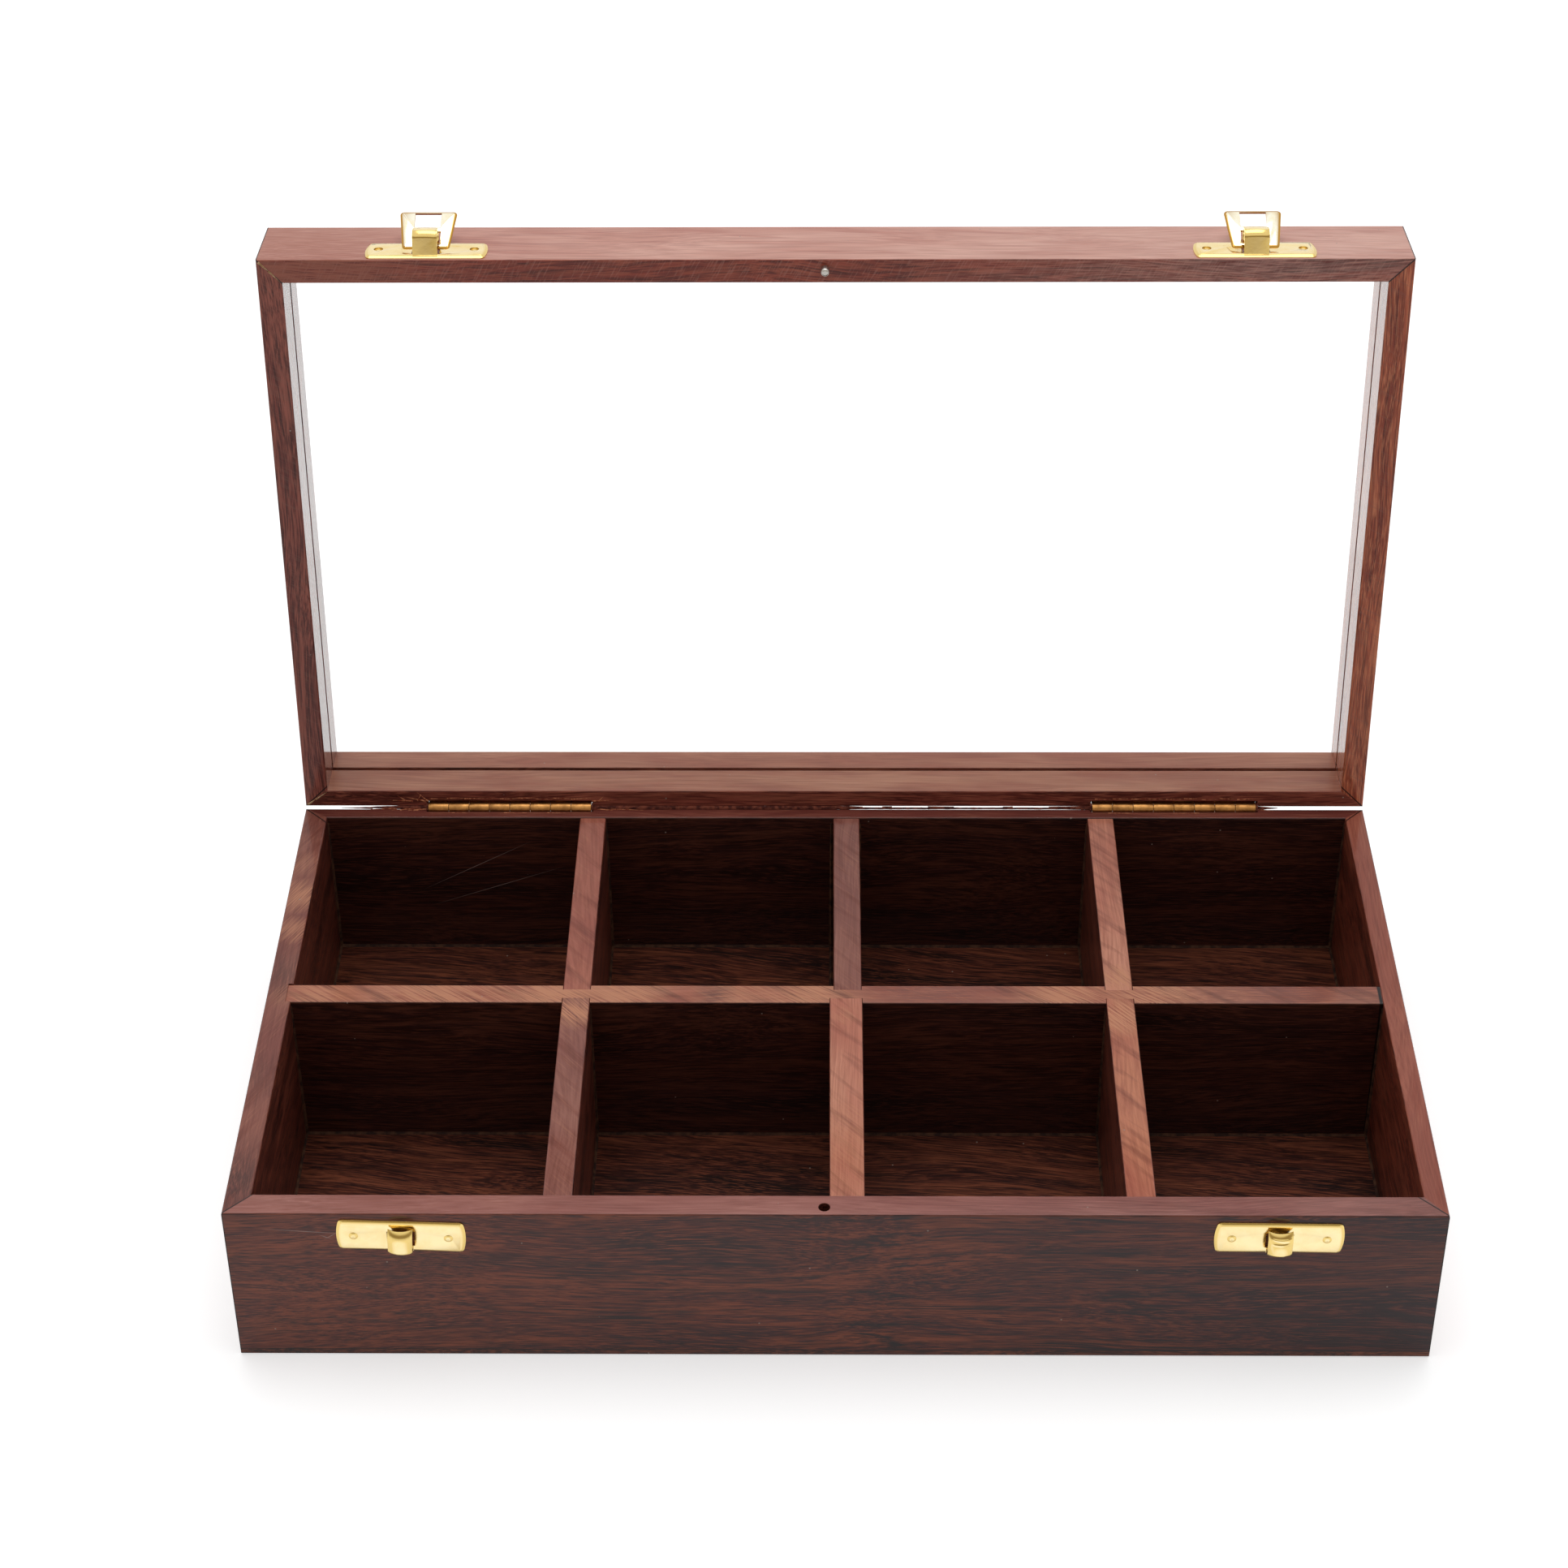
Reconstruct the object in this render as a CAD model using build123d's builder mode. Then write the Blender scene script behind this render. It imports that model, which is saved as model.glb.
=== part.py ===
from build123d import *
import math
import os

os.makedirs("parts", exist_ok=True)

# Tea bag box of mitred hardwood boards: eight compartments, a glass lid on two
# butt hinges, and two slip hasps on the front.
# Frame: millimetres, +X along the front, +Y to the hinged back, +Z up.
# The origin is the middle of the underside of the base panel.

# --- Box boards -------------------------------------------------------------
box_width = 324.0
box_depth = 179.0
box_height = 52.5
base_thickness = 2.0
front_wall_thickness = 7.5
back_wall_thickness = 4.5
left_wall_thickness = 7.1
right_wall_thickness = 5.9
board_edge_radius = 0.5

# --- Dividers ---------------------------------------------------------------
long_divider_thickness = 7.8
cross_divider_thickness = 8.0
front_middle_divider_thickness = 9.4
front_middle_divider_shift = -0.5
first_column_width = 77.4
middle_column_width = 69.5
divider_below_rim = 0.3
trench_depth = 2.0
wall_notch_depth = 1.5

# --- Lid --------------------------------------------------------------------
opening_angle = 95.2
lid_gap = 0.3
lid_thickness = 24.6
lid_side_rail_width = 7.0
lid_front_rail_width = 7.0
lid_back_rail_width = 5.5
rail_edge_radius = 0.4
groove_start = 12.2
groove_width = 2.5
groove_depth = 3.0
glass_thickness = 2.0
glass_edge_clearance = 0.4

# --- Hinges -----------------------------------------------------------------
hinge_length = 50.0
hinge_insets = {"left": 62.8, "right": 57.8}
hinge_outset = 0.4
knuckle_count = 8
knuckle_gap = 0.16
leaf_thickness = 0.9
leaf_height = 10.0
hinge_pin_radius = 0.75
hinge_pin_clearance = 0.05
hinge_pin_chamfer = 0.2
leaf_knuckle_clearance = 0.15
barrel_notch_overrun = 0.6
barrel_notch_clearance = 0.25
lid_notch_depth = 2.1
leaf_pocket_clearance = 0.15

# --- Hinge screws -----------------------------------------------------------
hinge_screw_count = 3
hinge_screw_spacing = 18.0
hinge_screw_row = 6.0
screw_head_radius = 1.6
screw_head_depth = 0.75
screw_head_taper = 45
screw_shank_radius = 0.8
screw_length = 3.4
screw_tip_length = 0.8
screw_tip_taper = 30
screw_slot_width = 0.4
screw_slot_depth = 0.35
fastener_clearance = 0.05

# --- Latch plates, on the box and on the lid ---------------------------------
latch_insets = {"left": 47.4, "right": 44.2}
plate_length = 34.4
plate_height = 10.5
plate_thickness = 0.8
plate_end_bulge = 0.8
plate_corner_radius = 1.3
plate_bevel_width = 1.0
plate_bevel_depth = 0.5
tongue_sheet = 0.7
slot_side_gap = 0.4
lid_plate_above_seam = 0.7
box_plate_below_rim = 2.5
catch_turns = {"left": -2.0, "right": -0.7}
nail_sink_radius = 1.3
nail_sink_depth = 0.5
lid_nail_spacing = 27.0
box_rivet_spacing = 25.2

# --- Tongues of the plates ----------------------------------------------------
eye_width = 7.0
eye_root = 1.15
eye_lower_outset = 6.9
eye_lower_rise = 1.5
eye_upper_outset = 6.1
eye_rise = 6.9
eye_tip_drop = 1.5
eye_tip_clearance = 0.55
eye_top_radius = 2.0
catch_width = 6.5
catch_root = 1.6
catch_reach = 3.2
catch_tip_reach = 1.75
catch_bend_rise = 5.4
catch_rise = 7.5
catch_fold_radius = 1.35
catch_crown_radius = 4.0
tongue_foot_height = 0.4
tongue_root_radius = 0.45
slot_headroom = 5.6

# --- Hasps ------------------------------------------------------------------
hasp_pivot_above_seam = 5.0
hasp_pivot_outset = 1.9
hasp_lean = 66.0
hasp_length = 13.4
hasp_narrow_width = 13.2
hasp_free_width = 16.3
hasp_sheet = 0.7
hasp_pivot_edge = 0.75
hasp_corner_radius = 1.1
hasp_slot_width = 7.8
hasp_slot_end = 5.6
hasp_window_width = 7.4
hasp_window_start = 7.2
hasp_end_bar = 0.8
hasp_bevel_width = 0.8
hasp_bevel_depth = 0.35

# --- Rivets, nails and locating pin -------------------------------------------
rivet_head_radius = 1.25
rivet_head_height = 0.4
rivet_shank_radius = 0.8
rivet_length = 5.5
nail_head_radius = 0.95
nail_head_height = 0.3
nail_shank_radius = 0.6
nail_length = 5.5
locator_x = -2.6
locator_inset = 2.9
locator_radius = 1.2
locator_tip_radius = 0.7
locator_reach = 3.0
locator_depth = 6.0
locator_hole_radius = 1.6
locator_hole_depth = 5.0

# --- Worked out from the values above -----------------------------------------
wall_height = box_height - base_thickness
inner_left = -box_width / 2 + left_wall_thickness
inner_right = box_width / 2 - right_wall_thickness
inner_front = -box_depth / 2 + front_wall_thickness
inner_back = box_depth / 2 - back_wall_thickness
divider_height = wall_height - divider_below_rim
long_divider_y = (inner_front + inner_back) / 2
barrel_radius = hinge_pin_radius + hinge_pin_clearance + leaf_thickness
knuckle_pitch = hinge_length / knuckle_count
leaf_start = barrel_radius + leaf_knuckle_clearance
sides = {"left": -1, "right": 1}


def divider_x(column):
    """Centre of the cross divider on the right of a column, counted from 0."""
    left_face = inner_left + first_column_width + column * (middle_column_width + cross_divider_thickness)
    return left_face + cross_divider_thickness / 2


def from_side(side, inset):
    """X of a point set in from the left or right end of the box."""
    return sides[side] * (box_width / 2 - inset)


def shifted(plane, x, y, z):
    """The same plane moved along its own axes."""
    return Plane(plane.from_local_coords((x, y, z)), x_dir=plane.x_dir, z_dir=plane.z_dir)


# The lid's own plane is its mating face, with X along the hinges, Y towards the
# lid's front and Z out of the face, so the lid's boards lie on its -Z side.
swing = math.radians(opening_angle)
hinge_axis = Vector(0, box_depth / 2 + hinge_outset, box_height + lid_gap / 2)
lid_forward = Vector(0, -math.cos(swing), math.sin(swing))
lid_normal = Vector(0, -math.sin(swing), -math.cos(swing))
lid_origin = hinge_axis + lid_forward * hinge_outset - lid_normal * (lid_gap / 2)
lid_plane = Plane(lid_origin, x_dir=(1, 0, 0), z_dir=lid_normal)

# Fronts of box and lid: X along the front, Y up and Z out when the box is shut,
# measured from the rim on the box and from the mating face on the lid.
box_front = Plane((0, -box_depth / 2, box_height), x_dir=(1, 0, 0), z_dir=(0, -1, 0))
lid_front = Plane(lid_plane.from_local_coords((0, box_depth, 0)), x_dir=(1, 0, 0), z_dir=lid_forward)


def hinge_frame(side, on_lid):
    """Plane on a hinge's axis: Y into the wood, Z along the leaf from the barrel."""
    origin = hinge_axis + Vector(from_side(side, hinge_insets[side]), 0, 0)
    if on_lid:
        return Plane(origin, x_dir=(-1, 0, 0), z_dir=-lid_normal)
    return Plane(origin, x_dir=(1, 0, 0), z_dir=(0, 0, -1))


def screw_planes(frame):
    """Planes on the outer face of a hinge leaf, one per screw, with Z into the wood."""
    first = -(hinge_screw_count - 1) * hinge_screw_spacing / 2
    planes = []
    for number in range(hinge_screw_count):
        x = first + number * hinge_screw_spacing
        origin = frame.from_local_coords((x, hinge_outset, hinge_screw_row))
        planes.append(Plane(origin, x_dir=frame.x_dir, z_dir=frame.y_dir))
    return planes


def finish(piece, name):
    """Name a piece and write it out."""
    piece.part.label = name
    export_step(piece.part, f"parts/{name}.step")


def long_edges(face, along):
    """The edges of a face that run along a direction."""
    return [edge for edge in face.edges() if abs(edge.tangent_at(0.5).dot(Vector(along))) > 0.999]


def add_board(plane, corners, height, radius, along):
    """Add a board with four corners in plan, the long edges of its far face softened."""
    with BuildSketch(plane) as outline:
        with BuildLine():
            Polyline(*corners, close=True)
        make_face()
    extrude(outline.sketch, amount=height)
    far_face = faces().sort_by(Axis(plane.origin, plane.z_dir * math.copysign(1, height)))[-1]
    fillet(long_edges(far_face, along), radius=radius)


def drill(planes, radius, depth):
    """Drill a hole along the Z of each plane."""
    for plane in planes:
        with BuildSketch(plane) as outline:
            Circle(radius)
        extrude(outline.sketch, amount=depth, mode=Mode.SUBTRACT)


def cut_block(plane, low, high):
    """Cut away the block between two opposite corners, given in a plane's own axes."""
    size = [b - a for a, b in zip(low, high)]
    with BuildSketch(shifted(plane, (low[0] + high[0]) / 2, (low[1] + high[1]) / 2, low[2])) as outline:
        Rectangle(size[0], size[1])
    extrude(outline.sketch, amount=size[2], mode=Mode.SUBTRACT)


def cut_hinge_seats(on_lid, notch_depth):
    """Cut each hinge's leaf pocket, barrel notch and screw holes."""
    for side in sides:
        frame = hinge_frame(side, on_lid)
        pocket_reach = hinge_length / 2 + leaf_pocket_clearance
        notch_reach = hinge_length / 2 + barrel_notch_overrun
        pocket_end = (pocket_reach, hinge_outset + leaf_thickness, leaf_height + leaf_pocket_clearance)
        notch_end = (notch_reach, hinge_outset + notch_depth, barrel_radius + barrel_notch_clearance)
        cut_block(frame, (-pocket_reach, 0, 0), pocket_end)
        cut_block(frame, (-notch_reach, 0, 0), notch_end)
        hole_depth = screw_length + fastener_clearance
        drill(screw_planes(frame), screw_shank_radius + fastener_clearance, hole_depth)


def fastener_planes(front, spacing, middle):
    """Planes on the wood behind one latch plate's two fasteners, with Z into the wood."""
    planes = []
    for x in (-spacing / 2, spacing / 2):
        origin = front.from_local_coords((x, middle, 0))
        planes.append(Plane(origin, x_dir=front.x_dir, z_dir=-front.z_dir))
    return planes


# Each latch has its own frame on the box front and on the lid front.
box_plate_bottom = -box_plate_below_rim - plate_height
box_latch_fronts = {}
for side in sides:
    origin = box_front.from_local_coords((from_side(side, latch_insets[side]), 0, 0))
    turn = math.radians(catch_turns[side])
    turned_x = box_front.x_dir * math.cos(turn) + box_front.y_dir * math.sin(turn)
    box_latch_fronts[side] = Plane(origin, x_dir=turned_x, z_dir=box_front.z_dir)
lid_latch_fronts = {side: shifted(lid_front, from_side(side, latch_insets[side]), 0, 0) for side in sides}
box_plate_middle = box_plate_bottom + plate_height / 2
lid_plate_middle = lid_plate_above_seam + plate_height / 2
rivet_planes = []
nail_planes = []
for side in sides:
    rivet_planes += fastener_planes(box_latch_fronts[side], box_rivet_spacing, box_plate_middle)
    nail_planes += fastener_planes(lid_latch_fronts[side], lid_nail_spacing, lid_plate_middle)

# --- Base panel and walls -----------------------------------------------------
with BuildPart() as base_panel:
    Box(box_width, box_depth, base_thickness, align=(Align.CENTER, Align.CENTER, Align.MIN))
    fillet(base_panel.edges().group_by(Axis.Z)[0], radius=board_edge_radius)
finish(base_panel, "base_panel")

wall_plane = Plane.XY.offset(base_thickness)
outer_left = -box_width / 2
outer_right = box_width / 2
outer_front = -box_depth / 2
outer_back = box_depth / 2
divider_front = long_divider_y - long_divider_thickness / 2
divider_back = long_divider_y + long_divider_thickness / 2
across = (1, 0, 0)
deep = (0, 1, 0)

outer_corners = {
    "front_left": (outer_left, outer_front),
    "front_right": (outer_right, outer_front),
    "back_right": (outer_right, outer_back),
    "back_left": (outer_left, outer_back),
}
inner_corners = {
    "front_left": (inner_left, inner_front),
    "front_right": (inner_right, inner_front),
    "back_right": (inner_right, inner_back),
    "back_left": (inner_left, inner_back),
}


def mitred(outer, inner, start, end):
    """Plan of a board between two corners of a frame, mitred from outer to inner corner."""
    return [outer[start], outer[end], inner[end], inner[start]]


with BuildPart() as front_wall:
    corners = mitred(outer_corners, inner_corners, "front_left", "front_right")
    add_board(wall_plane, corners, wall_height, board_edge_radius, across)
    drill(rivet_planes, rivet_shank_radius + fastener_clearance, rivet_length)
    # The locating pin of the lid drops into a blind hole in the front rim.
    locator_hole = Plane((locator_x, outer_front + locator_inset, box_height), z_dir=(0, 0, -1))
    drill([locator_hole], locator_hole_radius, locator_hole_depth)
finish(front_wall, "front_wall")

with BuildPart() as back_wall:
    corners = mitred(outer_corners, inner_corners, "back_right", "back_left")
    add_board(wall_plane, corners, wall_height, board_edge_radius, across)
    cut_hinge_seats(on_lid=False, notch_depth=barrel_radius + barrel_notch_clearance - hinge_outset)
finish(back_wall, "back_wall")

with BuildPart() as left_wall:
    corners = mitred(outer_corners, inner_corners, "back_left", "front_left")
    add_board(wall_plane, corners, wall_height, board_edge_radius, deep)
    # The long divider is let into the left wall and butts against the right one.
    low = (inner_left - wall_notch_depth, divider_front, base_thickness)
    high = (inner_left, divider_back, box_height)
    cut_block(Plane.XY, low, high)
finish(left_wall, "left_wall")

with BuildPart() as right_wall:
    corners = mitred(outer_corners, inner_corners, "front_right", "back_right")
    add_board(wall_plane, corners, wall_height, board_edge_radius, deep)
finish(right_wall, "right_wall")

# --- Dividers -----------------------------------------------------------------
# Each cross divider: centre x, thickness, and whether it stands in the back row.
cross_dividers = {}
for column, place in enumerate(("left", "middle", "right")):
    x = divider_x(column)
    cross_dividers[f"back_{place}_divider"] = (x, cross_divider_thickness, True)
    cross_dividers[f"front_{place}_divider"] = (x, cross_divider_thickness, False)
x = divider_x(1) + front_middle_divider_shift
cross_dividers["front_middle_divider"] = (x, front_middle_divider_thickness, False)


def rectangle_corners(left, right, front, back):
    """Plan of a square-ended board."""
    return [(left, front), (right, front), (right, back), (left, back)]


with BuildPart() as long_divider:
    corners = rectangle_corners(inner_left - wall_notch_depth, inner_right, divider_front, divider_back)
    add_board(wall_plane, corners, divider_height, board_edge_radius, across)
    for x, thickness, in_back_row in cross_dividers.values():
        trench_front = divider_back - trench_depth if in_back_row else divider_front
        low = (x - thickness / 2, trench_front, base_thickness)
        high = (x + thickness / 2, trench_front + trench_depth, box_height)
        cut_block(Plane.XY, low, high)
finish(long_divider, "long_divider")

for name, (x, thickness, in_back_row) in cross_dividers.items():
    front = divider_back - trench_depth if in_back_row else inner_front
    back = inner_back if in_back_row else divider_front + trench_depth
    with BuildPart() as divider:
        corners = rectangle_corners(x - thickness / 2, x + thickness / 2, front, back)
        add_board(wall_plane, corners, divider_height, board_edge_radius, deep)
    finish(divider, name)

# --- Lid rails ------------------------------------------------------------------
rail_left = outer_left + lid_side_rail_width
rail_right = outer_right - lid_side_rail_width
rail_back = lid_back_rail_width
rail_front = box_depth - lid_front_rail_width
opening_width = rail_right - rail_left
opening_depth = rail_front - rail_back
opening_middle = (rail_front + rail_back) / 2

lid_outer_corners = {
    "back_left": (outer_left, 0),
    "back_right": (outer_right, 0),
    "front_right": (outer_right, box_depth),
    "front_left": (outer_left, box_depth),
}
lid_inner_corners = {
    "back_left": (rail_left, rail_back),
    "back_right": (rail_right, rail_back),
    "front_right": (rail_right, rail_front),
    "front_left": (rail_left, rail_front),
}


def add_rail(start, end, along):
    """Add a mitred rail of the lid, softened on both faces and grooved for the glass."""
    corners = mitred(lid_outer_corners, lid_inner_corners, start, end)
    add_board(lid_plane, corners, -lid_thickness, rail_edge_radius, along)
    mating_face = faces().sort_by(Axis(lid_plane.origin, lid_plane.z_dir))[-1]
    fillet(long_edges(mating_face, along), radius=rail_edge_radius)
    with BuildSketch(shifted(lid_plane, 0, opening_middle, -groove_start)) as groove:
        Rectangle(opening_width + 2 * groove_depth, opening_depth + 2 * groove_depth)
    extrude(groove.sketch, amount=-groove_width, mode=Mode.SUBTRACT)


with BuildPart() as lid_back_rail:
    add_rail("back_left", "back_right", across)
    cut_hinge_seats(on_lid=True, notch_depth=lid_notch_depth)
finish(lid_back_rail, "lid_back_rail")

with BuildPart() as lid_right_rail:
    add_rail("back_right", "front_right", lid_forward)
finish(lid_right_rail, "lid_right_rail")

locator_plane = shifted(lid_plane, locator_x, box_depth - locator_inset, -locator_depth)
with BuildPart() as lid_front_rail:
    add_rail("front_right", "front_left", across)
    drill(nail_planes, nail_shank_radius + fastener_clearance, nail_length)
    drill([locator_plane], locator_radius, locator_depth)
finish(lid_front_rail, "lid_front_rail")

with BuildPart() as lid_left_rail:
    add_rail("front_left", "back_left", lid_forward)
finish(lid_left_rail, "lid_left_rail")

with BuildPart() as glass_pane:
    glass_start = groove_start + (groove_width - glass_thickness) / 2
    with BuildSketch(shifted(lid_plane, 0, opening_middle, -glass_start)):
        glass_overlap = groove_depth - glass_edge_clearance
        Rectangle(opening_width + 2 * glass_overlap, opening_depth + 2 * glass_overlap)
    extrude(amount=-glass_thickness)
finish(glass_pane, "glass_pane")

with BuildPart() as locating_pin:
    with BuildSketch(locator_plane):
        Circle(locator_radius)
    extrude(amount=locator_depth + locator_reach)
    tip = locating_pin.faces().sort_by(Axis(lid_plane.origin, lid_plane.z_dir))[-1]
    fillet(tip.edges(), radius=locator_tip_radius)
finish(locating_pin, "locating_pin")


# --- Hinges ---------------------------------------------------------------------
def hinge_leaf(frame):
    """A stamped leaf whose every second knuckle is rolled from its edge."""
    with BuildPart() as leaf:
        with BuildSketch(shifted(frame, 0, hinge_outset + leaf_thickness / 2, leaf_start)):
            Rectangle(hinge_length, leaf_thickness)
        extrude(amount=leaf_height - leaf_start)
        for number in range(0, knuckle_count, 2):
            start = -hinge_length / 2 + number * knuckle_pitch + knuckle_gap / 2
            origin = frame.from_local_coords((start, 0, 0))
            with BuildSketch(Plane(origin, x_dir=frame.y_dir, z_dir=frame.x_dir)):
                Circle(barrel_radius)
                with Locations((hinge_outset + leaf_thickness / 2, leaf_start / 2)):
                    Rectangle(leaf_thickness, leaf_start)
                Circle(hinge_pin_radius + hinge_pin_clearance, mode=Mode.SUBTRACT)
            extrude(amount=knuckle_pitch - knuckle_gap)
        for plane in screw_planes(frame):
            with BuildSketch(plane):
                Circle(screw_head_radius + fastener_clearance)
            extrude(amount=screw_head_depth, taper=screw_head_taper, mode=Mode.SUBTRACT)
            with BuildSketch(plane):
                Circle(screw_shank_radius + 2 * fastener_clearance)
            extrude(amount=leaf_thickness, mode=Mode.SUBTRACT)
    return leaf


def hinge_screws(planes):
    """Slotted countersunk screws, one on each plane."""
    with BuildPart() as screws:
        for plane in planes:
            with BuildSketch(plane):
                Circle(screw_head_radius)
            extrude(amount=screw_head_depth, taper=screw_head_taper)
            with BuildSketch(plane):
                Circle(screw_shank_radius)
            extrude(amount=screw_length - screw_tip_length)
            with BuildSketch(plane.offset(screw_length - screw_tip_length)):
                Circle(screw_shank_radius)
            extrude(amount=screw_tip_length, taper=screw_tip_taper)
            with BuildSketch(plane):
                Rectangle(2 * screw_head_radius, screw_slot_width)
            extrude(amount=screw_slot_depth, mode=Mode.SUBTRACT)
    return screws


for side in sides:
    lower_frame = hinge_frame(side, on_lid=False)
    finish(hinge_leaf(lower_frame), f"{side}_hinge_lower_leaf")
    finish(hinge_leaf(hinge_frame(side, on_lid=True)), f"{side}_hinge_upper_leaf")
    pin_start = lower_frame.from_local_coords((-hinge_length / 2, 0, 0))
    with BuildPart() as hinge_pin:
        with BuildSketch(Plane(pin_start, z_dir=(1, 0, 0))):
            Circle(hinge_pin_radius)
        extrude(amount=hinge_length)
        chamfer(hinge_pin.edges(), length=hinge_pin_chamfer)
    finish(hinge_pin, f"{side}_hinge_pin")

for part_name, on_lid in (("lower_hinge_screws", False), ("upper_hinge_screws", True)):
    planes = [plane for side in sides for plane in screw_planes(hinge_frame(side, on_lid))]
    finish(hinge_screws(planes), part_name)


# --- Latch plates -----------------------------------------------------------------
def latch_plate(front, bottom, hole_spacing, hole_radius, sink_radius, tongue_width, tongue, radii, slot):
    """
    A stamped plate with bowed ends and bevelled edges, and a tongue rolled out of it.
    The tongue is a path of (outset, height) points. The slot behind it runs between
    two heights. All heights are from the plate's bottom edge. The holes are plain, or
    sunk for nail heads where a sink radius is given.
    """
    plate_frame = shifted(front, 0, bottom, 0)
    half = plate_length / 2
    with BuildPart() as plate:
        with BuildSketch(plate_frame) as outline:
            with BuildLine():
                straight = half - plate_end_bulge
                Line((-straight, 0), (straight, 0))
                ThreePointArc((straight, 0), (half, plate_height / 2), (straight, plate_height))
                Line((straight, plate_height), (-straight, plate_height))
                ThreePointArc((-straight, plate_height), (-half, plate_height / 2), (-straight, 0))
            make_face()
            fillet(outline.vertices(), radius=plate_corner_radius)
        extrude(amount=plate_thickness)
        outer_face = plate.faces().sort_by(Axis(plate_frame.origin, plate_frame.z_dir))[-1]
        chamfer(outer_face.edges(), length=plate_bevel_depth, length2=plate_bevel_width)
        with BuildSketch(shifted(plate_frame, 0, (slot[0] + slot[1]) / 2, 0)):
            Rectangle(tongue_width + 2 * slot_side_gap, slot[1] - slot[0])
        extrude(amount=plate_thickness, mode=Mode.SUBTRACT)
        with BuildSketch(plate_frame):
            with Locations((-hole_spacing / 2, plate_height / 2), (hole_spacing / 2, plate_height / 2)):
                Circle(hole_radius)
        extrude(amount=plate_thickness, mode=Mode.SUBTRACT)
        if sink_radius:
            with BuildSketch(plate_frame.offset(plate_thickness)):
                with Locations((-hole_spacing / 2, plate_height / 2), (hole_spacing / 2, plate_height / 2)):
                    Circle(sink_radius)
            extrude(amount=-nail_sink_depth, mode=Mode.SUBTRACT)
        side_plane = Plane(plate_frame.origin, x_dir=plate_frame.z_dir, z_dir=-plate_frame.x_dir)
        with BuildSketch(side_plane):
            with BuildLine():
                FilletPolyline(*tongue, radius=radii)
            trace(line_width=tongue_sheet)
        extrude(amount=tongue_width / 2, both=True)
    return plate


sheet_middle = plate_thickness / 2
eye_tongue = [
    (sheet_middle, tongue_foot_height),
    (sheet_middle, eye_root),
    (eye_lower_outset, eye_root + eye_lower_rise),
    (eye_upper_outset, eye_root + eye_rise),
    (plate_thickness + eye_tip_clearance, eye_root + eye_rise - eye_tip_drop),
]
eye_radii = [tongue_root_radius, eye_top_radius, eye_top_radius]
catch_tongue = [
    (sheet_middle, tongue_foot_height),
    (sheet_middle, catch_root),
    (catch_reach, catch_root),
    (catch_reach, catch_root + catch_bend_rise),
    (catch_tip_reach, catch_root + catch_rise),
]
catch_radii = [tongue_root_radius, catch_fold_radius, catch_crown_radius]

for side in sides:
    latch = latch_plate(
        lid_latch_fronts[side],
        lid_plate_above_seam,
        lid_nail_spacing,
        nail_shank_radius + fastener_clearance,
        nail_sink_radius,
        eye_width,
        eye_tongue,
        eye_radii,
        (eye_root + tongue_sheet, eye_root + eye_rise),
    )
    finish(latch, f"{side}_eye_plate")
    catch = latch_plate(
        box_latch_fronts[side],
        box_plate_bottom,
        box_rivet_spacing,
        rivet_shank_radius + fastener_clearance,
        0,
        catch_width,
        catch_tongue,
        catch_radii,
        (catch_root + tongue_sheet, catch_root + slot_headroom),
    )
    finish(catch, f"{side}_catch_plate")


def domed_nails(planes, seat, head_radius, head_height, shank_radius, length):
    """Nails through a latch plate, with domed heads that sit at a height above the wood."""
    with BuildPart() as nails:
        for plane in planes:
            head = plane.from_local_coords((0, 0, -seat))
            tip_depth = seat + length - fastener_clearance
            with BuildSketch(Plane(head, x_dir=plane.x_dir, z_dir=plane.y_dir)):
                with BuildLine():
                    TangentArc((0, head_height), (head_radius, 0), tangent=(1, 0))
                    Polyline((head_radius, 0), (shank_radius, 0), (shank_radius, -tip_depth))
                    Polyline((shank_radius, -tip_depth), (0, -tip_depth), (0, head_height))
                make_face()
            revolve(axis=Axis(head, plane.z_dir))
    return nails


finish(
    domed_nails(
        rivet_planes,
        plate_thickness,
        rivet_head_radius,
        rivet_head_height,
        rivet_shank_radius,
        rivet_length,
    ),
    "catch_rivets",
)
finish(
    domed_nails(
        nail_planes,
        plate_thickness - nail_sink_depth,
        nail_head_radius,
        nail_head_height,
        nail_shank_radius,
        nail_length,
    ),
    "eye_plate_nails",
)


# --- Hasps ------------------------------------------------------------------------
def half_width(y):
    """Half the hasp's width at a distance from its pivot."""
    share = (y + hasp_pivot_edge) / (hasp_length + hasp_pivot_edge)
    return (hasp_narrow_width + share * (hasp_free_width - hasp_narrow_width)) / 2


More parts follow.
